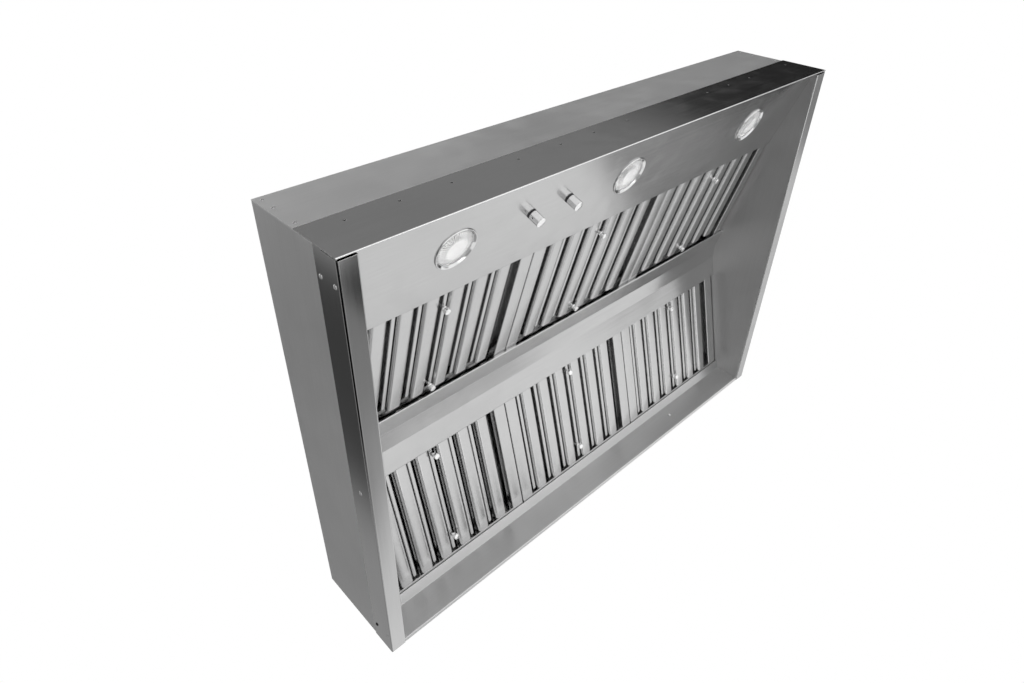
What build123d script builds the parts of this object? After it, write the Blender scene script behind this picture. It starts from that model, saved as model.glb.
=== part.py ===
from build123d import *
import math
import os

# Range hood insert, millimetres. The origin is the middle of the bottom rim.
# +Z is up, -Y is towards the cook and +X is the cook's right.

# ---- casing ----
overall_width = 1219.0
overall_depth = 854.0
body_height = 214.5
sheet = 1.2
bend_radius = 1.0
seat_gap = 0.3
rim_width = 31.5
front_skirt_height = 101.0
front_panel_bottom = 85.0
side_strip_height = 54.0
strip_relief_height = 33.0
strip_relief_depth = 2.4
rim_setback = 5.5
hem_height = 8.5
hem_width = 6.5
hem_round = 1.1
corner_flange = 20.0
top_flange = 18.0
end_tab = 12.0

# ---- light panel, with the lamps and the two controls ----
panel_depth = 177.8
panel_flange_height = 15.0
lamp_end_distance = 181.0
lamp_slope_distance = 86.5
control_slope_distance = 80.0
control_positions = {"fan": -243.5, "light": -157.0}

# ---- filters: two rows that lean together like a roof, three to a row ----
columns = {"left": -1, "middle": 0, "right": 1}
row_tilt = 15.1
row_gap = 81.4
filter_foot_height = 73.2
panel_bearing = 11.3
ledge_bearing = 8.1
filter_end_gap = 1.5
filter_gap = 2.0
filter_depth = 25.0
filter_sheet = 0.9
slot_pitch = 51.0
slot_width = 17.0
smallest_side_flange = 20.0
baffle_lip = 14.0
frame_end_flange = 12.0
frame_back_flange = 14.0
filter_knob_radius = 6.0
filter_knob_reach = 15.0
filter_knob_end_distance = 50.5
hole_clearance = 0.1

# ---- divider under the ridge, rails and rear liner ----
divider_front_reach = 68.0
divider_flat_front_reach = 24.0
divider_flat_rear_reach = 17.0
divider_rear_reach = 67.0
divider_front_lip = 5.9
divider_rear_lip = 7.8
divider_rise = 11.9
rear_liner_gap = 8.0
ledge_depth = 19.8
ledge_tilt = 24.0
rail_reach = 30.0
rail_flange = 14.0
partition_setback = 3.0
partition_flange = 12.0

# ---- duct collar and damper ----
collar_radius = 126.0
collar_wall = 0.8
collar_height = 50.0
collar_flange = 16.0
bead_depth = 6.0
bead_height = 3.0
damper_height = 15.0
damper_pin_radius = 3.0
running_gap = 0.05
knuckle_wall = 1.2
knuckle_length = 30.0
knuckle_pitch = 62.0
knuckle_count = 4
flap_sheet = 0.8
flap_margin = 3.0
flap_notch = 3.2

# ---- lamps ----
bezel_radius = 38.6
bezel_height = 3.0
bezel_opening = 29.5
bezel_neck_radius = 32.4
bezel_neck_wall = 1.3
bezel_neck_depth = 9.0
bezel_chamfer = 1.2
lens_recess = 3.0
panel_hole_gap = 0.6
lens_thickness = 3.0
lens_gap = 0.2
can_radius = 36.0
can_wall = 0.8
can_depth = 66.0
can_flange = 9.0
bulb_face_radius = 25.0
bulb_rim_depth = 5.0
bulb_base_radius = 9.0
bulb_start = 8.0
bulb_length = 44.0
bulb_base_length = 12.0
socket_radius = 13.0

# ---- controls ----
control_knob_radius = 9.25
control_knob_length = 21.5
control_knob_gap = 0.5
control_knob_edge = 0.5
nut_recess_radius = 8.0
nut_recess_depth = 4.5
nut_across_flats = 12.0
nut_height = 3.0
shaft_radius = 3.0
shaft_in_knob = 14.0
shaft_in_body = 12.0
bush_radius = 4.75
bush_reach = 4.0
control_body_side = 30.0
control_body_depth = 20.0
set_screw_radius = 1.4
set_screw_height = 5.8
set_screw_angle = 200.0

# ---- wiring box ----
box_x = 200.0
box_front_distance = 82.0
box_length = 100.0
box_width = 80.0
box_height = 45.0
box_wall = 1.0
knockout_radius = 11.1

# ---- fixings ----
hanger_side_distance = 79.5
hanger_end_distance = 57.0
hanger_hole_radius = 4.5
front_hole_radius = 2.0
front_hole_height = 77.0
front_holes_from_left = (61.5, 148.5, 239.5, 372.5, 467.5, 548.5)
front_holes_from_right = (32.5, 181.5, 259.5, 334.5, 581.5)
screw_radius = 2.0
screw_length = 8.0
screw_head_radius = 3.8
screw_head_height = 1.6
screw_front_distance = 45.0
screw_rear_distance = 41.0
screw_heights = (10.6, 44.0)
middle_screw_y = 6.0
middle_screw_height = 28.0

# ---- places worked out from the sizes above ----
half_width = overall_width / 2
half_depth = overall_depth / 2
side_face = half_width - sheet
wall_face = half_width - rim_width
front_face = -half_depth + sheet
front_inner = front_face + sheet
rear_inner = half_depth - sheet
under_top = body_height - sheet
lid_flange_half = wall_face - seat_gap
rear_liner_face = half_depth - rear_liner_gap
panel_rear_edge = front_face + panel_depth
ledge_front = rear_liner_face - ledge_depth

tilt = math.radians(row_tilt)
front_foot = panel_rear_edge - panel_bearing
rear_foot = ledge_front + ledge_bearing
row_run = (rear_foot - front_foot - row_gap) / 2
ridge_y = (front_foot + rear_foot) / 2
row_offset = (row_gap + row_run) / 2
row_mid_height = filter_foot_height + row_run / 2 * math.tan(tilt)
filter_length = row_run / math.cos(tilt)
filter_width = (2 * (wall_face - filter_end_gap) - (len(columns) - 1) * filter_gap) / len(columns)
filter_pitch = filter_width + filter_gap
slot_count = int((filter_width - 2 * smallest_side_flange - slot_width) // slot_pitch) + 1
side_flange = (filter_width - (slot_count - 1) * slot_pitch - slot_width) / 2
bar_width = slot_pitch - slot_width
knob_slot_x = (slot_count // 2 - (slot_count - 1) / 2) * slot_pitch
knob_offset = filter_length / 2 - filter_knob_end_distance
rail_face = -filter_length / 2 - seat_gap

# the panel's hem and the ledge's hem both come to seat_gap under the filters
panel_start_height = hem_height + seat_gap
panel_rise = filter_foot_height + panel_bearing * math.tan(tilt) - seat_gap - panel_start_height
panel_angle = math.atan2(panel_rise, panel_depth) - math.asin(2 * sheet / math.hypot(panel_depth, panel_rise))
ledge_angle = math.radians(ledge_tilt)
ledge_nose_bearing = ledge_bearing - 2 * sheet * math.sin(ledge_angle)
ledge_nose_height = filter_foot_height + ledge_nose_bearing * math.tan(tilt) - seat_gap
ledge_front_height = ledge_nose_height - 2 * sheet * math.cos(ledge_angle)
ledge_foot_height = ledge_front_height - ledge_depth * math.tan(ledge_angle)

lamp_pitch = wall_face - lamp_end_distance
damper_z = body_height + damper_height
knuckle_radius = damper_pin_radius + running_gap + knuckle_wall
hanger_x = half_width - hanger_side_distance
hanger_y = half_depth - hanger_end_distance
box_y = -half_depth + box_front_distance


def save(node, shape):
    """Writes one named piece, or one group of like pieces."""
    os.makedirs("parts", exist_ok=True)
    if isinstance(shape, list):
        shape = Compound(children=[solid for piece in shape for solid in piece.solids()])
    export_step(shape, f"parts/{node}.step")


def block(x, y, z):
    """A box between two limits on each axis."""
    size = [high - low for low, high in (x, y, z)]
    middle = [(low + high) / 2 for low, high in (x, y, z)]
    return Pos(*middle) * Box(*size)


def bent_section(points, thickness, inside_radius):
    """Section of a folded sheet. The points lie on one face, and the metal is to the left of their line."""
    if len(points) == 2:
        line = Polyline(*points)
    else:
        radii = []
        for before, here, after in zip(points, points[1:], points[2:]):
            into = Vector(*here) - Vector(*before)
            onward = Vector(*after) - Vector(*here)
            turns_left = into.cross(onward).Z > 0
            radii.append(inside_radius + (thickness if turns_left else 0))
        line = FilletPolyline(*points, radius=radii)
    return make_face(line.wires()[0].offset_2d(thickness, side=Side.LEFT, closed=True))


def sheet_along_x(points, half_length):
    """Folded casing sheet with its bends along X; points are (y, z)."""
    section = bent_section(points, sheet, bend_radius)
    return Plane.YZ * extrude(section, half_length, both=True)


def end_tabs(points, half_length):
    """Tabs turned up at both ends of a folded sheet, which lie against the side liners."""
    section = Plane.YZ * extrude(bent_section(points, end_tab, bend_radius), sheet)
    return [Pos(x, 0, 0) * section for x in (-half_length, half_length - sheet)]


def hem_along_x(edge, angle, layer_side, half_length):
    """The folded-back edge of a sheet: two thicknesses with a rounded nose, running in at an angle."""
    flat = Pos(hem_width / 2, layer_side * sheet) * Rectangle(hem_width, 2 * sheet)
    nose = fillet(flat.vertices().group_by(Axis.X)[0], hem_round)
    return Plane.YZ * Pos(*edge) * Rot(0, 0, angle) * extrude(nose, half_length, both=True)


def both_sides(piece):
    """A piece and its mirror image on the other side of the hood."""
    return {"left": piece, "right": mirror(piece, about=Plane.YZ)}


def panel_height(y):
    """Height of the light panel's lower face above the rim, at a distance y along the depth."""
    return panel_start_height + (y - front_face) * math.tan(panel_angle)


def on_panel(x, slope_distance):
    """Frame on the light panel's lower face, with Z straight out of it, down towards the cooktop."""
    y = front_face + slope_distance * math.cos(panel_angle)
    facing = (0, math.sin(panel_angle), -math.cos(panel_angle))
    return Plane(origin=(x, y, panel_height(y)), x_dir=(1, 0, 0), z_dir=facing)


def on_row(row, x=0.0):
    """Frame on the middle of a filter's underside, with Y up the slope and Z up through the filter."""
    way = 1 if row == "front" else -1
    origin = (x, ridge_y - way * row_offset, row_mid_height)
    return Plane(origin=origin, x_dir=(way, 0, 0), z_dir=(0, -way * math.sin(tilt), math.cos(tilt)))


def row_point(row, along, above):
    """(y, z) of a point on a row, from its distances up the slope and above the underside."""
    way = 1 if row == "front" else -1
    y = ridge_y - way * (row_offset - along * math.cos(tilt) + above * math.sin(tilt))
    z = row_mid_height + along * math.sin(tilt) + above * math.cos(tilt)
    return y, z


def underside_height(row, y):
    """Height of a row's underside over a distance y along the depth."""
    middle = ridge_y - row_offset if row == "front" else ridge_y + row_offset
    way = 1 if row == "front" else -1
    return row_mid_height + way * (y - middle) * math.tan(tilt)


# ---- casing pieces ----
def make_top_plate():
    """Flat lid with the duct opening, the wiring knockout and four hanger holes."""
    plate = block((-side_face, side_face), (front_face, half_depth), (under_top, body_height))
    plate -= Pos(0, 0, under_top) * Cylinder(collar_radius - collar_wall, 4 * sheet)
    plate -= Pos(box_x, box_y, under_top) * Cylinder(knockout_radius, 4 * sheet)
    for x in (-hanger_x, hanger_x):
        for y in (-hanger_y, hanger_y):
            plate -= Pos(x, y, under_top) * Cylinder(hanger_hole_radius, 4 * sheet)
    return plate


def make_front_upper_panel():
    """Upper front sheet with a flange under the lid, welded to the side panels' front flanges."""
    panel = block((-side_face, side_face), (front_face, front_inner), (front_panel_bottom, under_top))
    flange_y = (front_face, front_face + top_flange)
    return panel + block((-lid_flange_half, lid_flange_half), flange_y, (under_top - sheet, under_top))


def make_front_skirt():
    """Lower front sheet, lapped over the upper one, with fixing holes and a hem along its bottom edge."""
    skirt = block((-half_width, half_width), (-half_depth, front_face), (sheet, front_skirt_height))
    fold = Pos(-half_depth + sheet, hem_height / 2) * Rectangle(2 * sheet, hem_height)
    fold = fillet(fold.vertices().group_by(Axis.Y)[0], hem_round)
    skirt += Plane.YZ * extrude(fold, half_width, both=True)
    hole_places = [distance - half_width for distance in front_holes_from_left]
    hole_places += [half_width - distance for distance in front_holes_from_right]
    for x in hole_places:
        hole = Rot(90, 0, 0) * Cylinder(front_hole_radius, 4 * sheet)
        skirt -= Pos(x, front_face, front_hole_height) * hole
    return skirt


def make_rear_panel():
    """Outer sheet at the back, with a flange under the lid."""
    panel = block((-side_face, side_face), (rear_inner, half_depth), (sheet, under_top))
    flange_y = (half_depth - top_flange, half_depth)
    return panel + block((-lid_flange_half, lid_flange_half), flange_y, (under_top - sheet, under_top))


def make_side_panel():
    """Left outer sheet, with a flange round each upright corner and one under the lid."""
    flange_end = -side_face + corner_flange
    points = [
        (flange_end, rear_inner),
        (-side_face, rear_inner),
        (-side_face, front_inner),
        (flange_end, front_inner),
    ]
    low = sheet + bend_radius
    panel = Pos(0, 0, low) * extrude(bent_section(points, sheet, bend_radius), under_top - low)
    flange_x = (-side_face, -side_face + top_flange)
    panel += block(flange_x, (front_inner, rear_inner), (under_top - sheet, under_top))
    for y, z in side_screw_places():
        panel -= Pos(-side_face, y, z) * Rot(0, 90, 0) * Cylinder(screw_radius + hole_clearance, 6 * sheet)
    return panel


def make_side_liner():
    """Left inner wall, bottom rim and outer strip, folded from one sheet."""
    points = [(-half_width, side_strip_height), (-half_width, 0), (-wall_face, 0), (-wall_face, under_top)]
    section = bent_section(points, sheet, bend_radius)
    length = half_depth - front_face
    liner = Pos(0, half_depth, 0) * Rot(90, 0, 0) * extrude(section, length)
    hollow_x = (-side_face, -wall_face + sheet)
    liner -= block(hollow_x, (rear_inner, half_depth + sheet), (sheet, body_height))
    rim_start = -half_depth + rim_setback
    liner -= block((-side_face, -wall_face + sheet), (front_face - sheet, rim_start), (-sheet, body_height))
    relief_y = (front_face - sheet, front_face + strip_relief_depth)
    liner -= block((-half_width - sheet, -side_face), relief_y, (-sheet, strip_relief_height))
    for y, z in side_screw_places():
        liner -= Pos(-side_face, y, z) * Rot(0, 90, 0) * Cylinder(screw_radius + hole_clearance, 6 * sheet)
    return liner


def make_rear_liner():
    """Inner rear wall that turns forward at its top into the ledge under the rear filters."""
    points = [
        (ledge_front, ledge_front_height),
        (rear_liner_face, ledge_foot_height),
        (rear_liner_face, sheet),
        (rear_inner, sheet),
    ]
    hem = hem_along_x((ledge_front, ledge_front_height), -ledge_tilt, 1, wall_face)
    return sheet_along_x(points, wall_face) + hem + end_tabs(points[:2], wall_face)


def make_light_panel():
    """Sloping sheet with holes for the lamps and the controls, and a hemmed rear edge."""
    rear_height = panel_height(panel_rear_edge)
    points = [
        (front_face, panel_start_height + panel_flange_height),
        (front_face, panel_start_height),
        (panel_rear_edge, rear_height),
    ]
    hem = hem_along_x((panel_rear_edge, rear_height), 180 + math.degrees(panel_angle), -1, wall_face)
    tab_start = front_face + end_tab
    tabs = end_tabs([(tab_start, panel_height(tab_start)), points[-1]], wall_face)
    panel = sheet_along_x(points, wall_face) + hem + tabs
    for place in range(-1, 2):
        cutter = Cylinder(bezel_neck_radius + panel_hole_gap, 6 * sheet)
        panel -= on_panel(place * lamp_pitch, lamp_slope_distance) * cutter
    for x in control_positions.values():
        panel -= on_panel(x, control_slope_distance) * Cylinder(bush_radius + hole_clearance, 6 * sheet)
    return panel


def make_centre_divider():
    """Folded channel under the ridge, with a lip along each edge that the filters' upper ends lie on."""
    front = ridge_y - divider_front_reach
    rear = ridge_y + divider_rear_reach
    front_lip_top = underside_height("front", front) - seat_gap
    rear_lip_top = underside_height("rear", rear) - seat_gap
    flat_height = front_lip_top - divider_front_lip + divider_rise
    points = [
        (front, front_lip_top),
        (front, front_lip_top - divider_front_lip),
        (ridge_y - divider_flat_front_reach, flat_height),
        (ridge_y + divider_flat_rear_reach, flat_height),
        (rear, rear_lip_top - divider_rear_lip),
        (rear, rear_lip_top),
    ]
    return sheet_along_x(points, wall_face) + end_tabs(points[1:-1], wall_face)


def make_front_filter_rail():
    """Folded strip on the light panel that stops the front filters' lower ends."""
    foot_y, foot_z = row_point("front", rail_face, 0)
    panel_top = panel_height(foot_y) + sheet / math.cos(panel_angle)
    drop = (foot_z - panel_top) * math.cos(panel_angle) / math.cos(panel_angle - tilt)
    top = row_point("front", rail_face, rail_reach)
    points = [row_point("front", rail_face, -drop), top, (top[0] - rail_flange, top[1])]
    return sheet_along_x(points, wall_face - sheet)


def make_rear_filter_rail():
    """Folded strip between the ledge and the rear panel that stops the rear filters' lower ends."""
    foot_y, foot_z = row_point("rear", rail_face, 0)
    ledge_rise = (rear_liner_face - foot_y) * math.tan(ledge_angle)
    ledge_top = ledge_foot_height + ledge_rise + sheet / math.cos(ledge_angle)
    drop = (foot_z - ledge_top) * math.cos(ledge_angle) / math.cos(ledge_angle - tilt)
    top = row_point("rear", rail_face, rail_reach)
    weld_face = rear_inner - sheet
    points = [
        (weld_face, top[1] + rail_flange),
        (weld_face, top[1]),
        top,
        row_point("rear", rail_face, -drop),
    ]
    return sheet_along_x(points, wall_face - sheet)


def make_plenum_front_wall():
    """Upright sheet between the lamps' compartment and the plenum, from the front rail to the lid."""
    top = row_point("front", rail_face, rail_reach)
    wall_y = top[0] - partition_setback
    foot = top[0] - rail_flange + sheet
    points = [(foot, top[1]), (wall_y, top[1]), (wall_y, under_top), (wall_y - partition_flange, under_top)]
    return sheet_along_x(points, wall_face)


# ---- duct collar and damper ----
def make_duct_collar():
    """Round spigot with a base flange, an inward bead that the flaps close on, and holes for their pin."""
    bead_top = damper_z - knuckle_radius - seat_gap
    inner = collar_radius - collar_wall
    wall = [
        (inner, body_height),
        (inner, bead_top - bead_height),
        (inner - bead_depth, bead_top - collar_wall),
        (inner - bead_depth, bead_top),
        (inner, bead_top),
        (inner, body_height + collar_height),
        (collar_radius, body_height + collar_height),
        (collar_radius, body_height + collar_wall),
        (collar_radius + collar_flange, body_height + collar_wall),
        (collar_radius + collar_flange, body_height),
    ]
    collar = revolve(Plane.XZ * make_face(Polyline(*wall, close=True)), Axis.Z)
    pin_hole = Cylinder(damper_pin_radius + running_gap, 3 * collar_radius)
    return collar - Pos(0, 0, damper_z) * Rot(0, 90, 0) * pin_hole


def make_damper_pin():
    """Rod across the collar that both flaps turn on."""
    half_length = math.sqrt(collar_radius**2 - damper_pin_radius**2)
    return Pos(0, 0, damper_z) * Rot(0, 90, 0) * Cylinder(damper_pin_radius, 2 * half_length)


def knuckle_place(number):
    """Middle of one knuckle along the pin."""
    return (number - (knuckle_count - 1) / 2) * knuckle_pitch


def make_rear_flap():
    """Half disc behind the pin, with every other knuckle on it and a notch round each of the other flap's."""
    radius = collar_radius - collar_wall - flap_margin
    low = -knuckle_radius
    disc = Pos(0, 0, low + flap_sheet / 2) * Cylinder(radius, flap_sheet)
    flap = disc & block((-radius, radius), (seat_gap, radius), (low, low + flap_sheet))
    for number in range(knuckle_count):
        x = knuckle_place(number)
        if number % 2:
            notch_x = (x - knuckle_length / 2 - 1, x + knuckle_length / 2 + 1)
            flap -= block(notch_x, (0, flap_notch), (low - 1, low + flap_sheet + 1))
        else:
            flap += Pos(x, 0, 0) * Rot(0, 90, 0) * Cylinder(knuckle_radius, knuckle_length)
    flap -= Rot(0, 90, 0) * Cylinder(damper_pin_radius + running_gap, 3 * radius)
    return Pos(0, 0, damper_z) * flap


# ---- lamps ----
def turned(points):
    """A round piece from its section, given as (radius, height) points."""
    return revolve(Plane.XZ * make_face(Polyline(*points, close=True)), Axis.Z)


def make_bezel():
    """Trim ring with a rounded face and a neck that goes up through the light panel."""
    neck_inner = bezel_neck_radius - bezel_neck_wall
    return turned(
        [
            (neck_inner, -bezel_neck_depth),
            (bezel_neck_radius, -bezel_neck_depth),
            (bezel_neck_radius, 0),
            (bezel_radius, 0),
            (bezel_radius, bezel_height - bezel_chamfer),
            (bezel_radius - bezel_chamfer, bezel_height),
            (bezel_opening, bezel_height),
            (bezel_opening, -lens_recess),
            (neck_inner, -lens_recess),
        ]
    )


def make_lens():
    """Glass disc behind the ring's inner lip."""
    radius = bezel_neck_radius - bezel_neck_wall - lens_gap
    return Pos(0, 0, -lens_recess - lens_thickness / 2) * Cylinder(radius, lens_thickness)


def make_can():
    """Deep drawn cup over the lamp, with a flange that lies on the light panel."""
    foot = -sheet
    top = -can_depth
    inner = can_radius - can_wall
    return turned(
        [
            (0, top),
            (can_radius, top),
            (can_radius, foot - can_wall),
            (can_radius + can_flange, foot - can_wall),
            (can_radius + can_flange, foot),
            (inner, foot),
            (inner, top + can_wall),
            (0, top + can_wall),
        ]
    )


def make_bulb():
    """Reflector lamp: a flat face with a short rim, a bowl that narrows to the neck, and the base."""
    face = -bulb_start
    end = face - bulb_length
    return turned(
        [
            (0, face),
            (bulb_face_radius, face),
            (bulb_face_radius, face - bulb_rim_depth),
            (bulb_base_radius, end + bulb_base_length),
            (bulb_base_radius, end),
            (0, end),
        ]
    )


def make_socket():
    """Lamp holder between the can's closed end and the lamp's base."""
    low = -can_depth + can_wall
    high = -bulb_start - bulb_length
    return Pos(0, 0, (low + high) / 2) * Cylinder(socket_radius, high - low)


# ---- controls ----
def make_control_knob():
    """Plain turned knob, with a shaft bore, a recess over the nut and a hole for the grub screw."""
    low = control_knob_gap
    middle = low + control_knob_length / 2
    knob = Pos(0, 0, middle) * Cylinder(control_knob_radius, control_knob_length)
    knob = chamfer(knob.edges().filter_by(GeomType.CIRCLE).group_by(Axis.Z)[-1], control_knob_edge)
    knob -= Pos(0, 0, low + nut_recess_depth / 2) * Cylinder(nut_recess_radius, nut_recess_depth)
    bore_depth = nut_recess_depth + shaft_in_knob
    knob -= Pos(0, 0, low + bore_depth / 2) * Cylinder(shaft_radius + running_gap, bore_depth)
    drill = Cylinder(set_screw_radius, 2 * (control_knob_radius - shaft_radius))
    drill_place = Pos(control_knob_radius, 0, low + set_screw_height) * Rot(0, 90, 0)
    return knob - Rot(0, 0, set_screw_angle) * drill_place * drill


def make_shaft():
    """Spindle from inside the control to inside the knob."""
    low = -sheet - shaft_in_body
    high = control_knob_gap + nut_recess_depth + shaft_in_knob - seat_gap
    return Pos(0, 0, (low + high) / 2) * Cylinder(shaft_radius, high - low)


def make_control_body():
    """Rotary control behind the panel, with its threaded bush through the panel."""
    low = -sheet - control_body_depth
    body = Pos(0, 0, (low - sheet) / 2) * Box(control_body_side, control_body_side, control_body_depth)
    bush_height = sheet + bush_reach
    body += Pos(0, 0, bush_reach - bush_height / 2) * Cylinder(bush_radius, bush_height)
    bore_low = -sheet - shaft_in_body - seat_gap
    bore_height = bush_reach - bore_low
    return body - Pos(0, 0, bush_reach - bore_height / 2) * Cylinder(shaft_radius + running_gap, bore_height)


def make_nut():
    """Thin hexagon nut on the bush, inside the knob's recess."""
    corner = nut_across_flats / 2 / math.cos(math.pi / 6)
    nut = extrude(RegularPolygon(corner, 6), nut_height)
    return nut - Cylinder(bush_radius + running_gap, 3 * nut_height)


# ---- wiring box ----
def make_junction_box():
    """Open-bottomed steel box under the lid, with its knockout in line with the lid's."""
    x = (box_x - box_length / 2, box_x + box_length / 2)
    y = (box_y - box_width / 2, box_y + box_width / 2)
    z = (under_top - box_height, under_top)
    shell = block(x, y, z)
    inner_x = (x[0] + box_wall, x[1] - box_wall)
    inner_y = (y[0] + box_wall, y[1] - box_wall)
    shell -= block(inner_x, inner_y, (z[0] - box_wall, z[1] - box_wall))
    return shell - Pos(box_x, box_y, under_top) * Cylinder(knockout_radius, 4 * box_wall)


def make_junction_cover():
    """Flat cover under the wiring box."""
    low = under_top - box_height - box_wall
    return Pos(box_x, box_y, low + box_wall / 2) * Box(box_length, box_width, box_wall)


# ---- fixings ----
def side_screw_places():
    """(y, z) of the screws along a side strip."""
    ends = (-half_depth + screw_front_distance, half_depth - screw_rear_distance)
    return [(y, z) for y in ends for z in screw_heights] + [(middle_screw_y, middle_screw_height)]


def make_side_screws():
    """Screws through the side strips into the side panels."""
    head = Pos(0, 0, screw_head_height / 2) * Cylinder(screw_head_radius, screw_head_height)
    screw = head + Pos(0, 0, -screw_length / 2) * Cylinder(screw_radius, screw_length)
    left = [Pos(-half_width, y, z) * Rot(0, -90, 0) * screw for y, z in side_screw_places()]
    right = [Pos(half_width, y, z) * Rot(0, 90, 0) * screw for y, z in side_screw_places()]
    return left + right


# ---- one baffle filter, lying flat: X across the slots, Y along them, Z up from the underside ----
def make_filter_frame():
    """Folded tray frame, with front flanges as wide as the bars and a lip beside each end slot."""
    edge_x = filter_width / 2
    edge_y = filter_length / 2
    frame = block((-edge_x, edge_x), (-edge_y, edge_y), (0, filter_depth))
    inner_x = edge_x - filter_sheet
    inner_y = edge_y - filter_sheet
    frame -= block((-inner_x, inner_x), (-inner_y, inner_y), (filter_sheet, filter_depth - filter_sheet))
    window_y = edge_y - frame_end_flange
    slot_edge = edge_x - side_flange
    frame -= block((-slot_edge, slot_edge), (-window_y, window_y), (-1, filter_depth / 2))
    back_edge = edge_x - frame_back_flange
    frame -= block((-back_edge, back_edge), (-window_y, window_y), (filter_depth / 2, filter_depth + 1))
    for way in (-1, 1):
        lip_x = sorted((way * slot_edge, way * (slot_edge + filter_sheet)))
        frame += block(lip_x, (-window_y, window_y), (0, filter_sheet + baffle_lip))
    return frame


def make_baffle(length):
    """A U channel with its web at the bottom, lying on Z = 0 along Y."""
    half = bar_width / 2
    inner = half - filter_sheet
    bar = block((-half, half), (-length / 2, length / 2), (0, baffle_lip))
    return bar - block((-inner, inner), (-length, length), (filter_sheet, 2 * baffle_lip))


def make_filter_baffles():
    """Front bars between the slots and a turned-over back bar across each slot."""
    length = filter_length - 2 * filter_sheet - 2 * hole_clearance
    bar = make_baffle(length)
    upright = Pos(0, 0, filter_sheet) * bar
    turned_over = Pos(0, 0, filter_depth - filter_sheet) * Rot(0, 180, 0) * bar
    first_slot = -(slot_count - 1) / 2 * slot_pitch
    front = [Pos(first_slot + (i + 0.5) * slot_pitch, 0, 0) * upright for i in range(slot_count - 1)]
    back = [Pos(first_slot + i * slot_pitch, 0, 0) * turned_over for i in range(slot_count)]
    return front + back


def make_filter_knobs():
    """Two pull knobs that stand on the back bar over the middle slot and reach down through the slot."""
    seat = filter_depth - 2 * filter_sheet
    knob = Cylinder(filter_knob_radius, filter_knob_reach + seat)
    return [Pos(knob_slot_x, y, (seat - filter_knob_reach) / 2) * knob for y in (-knob_offset, knob_offset)]


# ---- the whole hood ----
def save_casing():
    save("top_plate", make_top_plate())
    save("front_upper_panel", make_front_upper_panel())
    save("front_skirt", make_front_skirt())
    save("rear_panel", make_rear_panel())
    for side, panel in both_sides(make_side_panel()).items():
        save(f"{side}_side_panel", panel)
    for side, liner in both_sides(make_side_liner()).items():
        save(f"{side}_side_liner", liner)
    save("rear_liner", make_rear_liner())
    save("light_panel", make_light_panel())
    save("centre_divider", make_centre_divider())
    save("front_filter_rail", make_front_filter_rail())
    save("rear_filter_rail", make_rear_filter_rail())
    save("plenum_front_wall", make_plenum_front_wall())
    save("side_screws", make_side_screws())


def save_duct():
    rear_flap = make_rear_flap()
    save("duct_collar", make_duct_collar())
    save("damper_pin", make_damper_pin())
    save("rear_damper_flap", rear_flap)
    save("front_damper_flap", Rot(0, 0, 180) * rear_flap)


def save_lamps():
    for column, place in columns.items():
        spot = on_panel(place * lamp_pitch, lamp_slope_distance)
        save(f"{column}_lamp_bezel", spot * make_bezel())
        save(f"{column}_lamp_lens", spot * make_lens())
        save(f"{column}_lamp_can", spot * make_can())
        save(f"{column}_lamp_bulb", spot * make_bulb())
    spots = [on_panel(place * lamp_pitch, lamp_slope_distance) for place in columns.values()]
    save("lamp_sockets", [spot * make_socket() for spot in spots])


def save_controls():
    spots = {name: on_panel(x, control_slope_distance) for name, x in control_positions.items()}
    for name, spot in spots.items():
        save(f"{name}_knob", spot * make_control_knob())
        save(f"{name}_shaft", spot * make_shaft())
        save(f"{name}_control", spot * make_control_body())
    save("control_nuts", [spot * make_nut() for spot in spots.values()])
    save("junction_box", make_junction_box())
    save("junction_box_cover", make_junction_cover())


def save_filters():
    frame = make_filter_frame()
    baffles = make_filter_baffles()
    knobs = make_filter_knobs()
    for row in ("front", "rear"):
        for column, place in columns.items():
            spot = on_row(row, place * filter_pitch)
            save(f"{row}_{column}_filter_frame", spot * frame)
            save(f"{row}_{column}_filter_baffles", [spot * bar for bar in baffles])
            save(f"{row}_{column}_filter_knobs", [spot * knob for knob in knobs])


save_casing()
save_duct()
save_lamps()
save_controls()
save_filters()
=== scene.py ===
import math

import bpy
import numpy as np
from mathutils import Matrix


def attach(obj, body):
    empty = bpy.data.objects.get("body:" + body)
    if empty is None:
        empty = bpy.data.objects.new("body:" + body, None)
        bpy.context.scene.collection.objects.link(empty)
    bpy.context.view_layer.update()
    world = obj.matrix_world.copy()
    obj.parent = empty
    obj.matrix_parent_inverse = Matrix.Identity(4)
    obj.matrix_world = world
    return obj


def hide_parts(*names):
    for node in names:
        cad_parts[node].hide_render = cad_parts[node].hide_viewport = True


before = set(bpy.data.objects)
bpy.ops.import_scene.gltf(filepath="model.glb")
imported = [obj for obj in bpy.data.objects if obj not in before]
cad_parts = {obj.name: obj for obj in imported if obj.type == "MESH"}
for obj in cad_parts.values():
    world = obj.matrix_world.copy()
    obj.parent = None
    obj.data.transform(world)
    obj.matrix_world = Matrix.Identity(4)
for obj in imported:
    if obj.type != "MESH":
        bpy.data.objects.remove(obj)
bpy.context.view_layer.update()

# Lengths are written in millimetres and become metres as a mesh is made.
METRES = 0.001
TOUCHING = 1e-9

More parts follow.
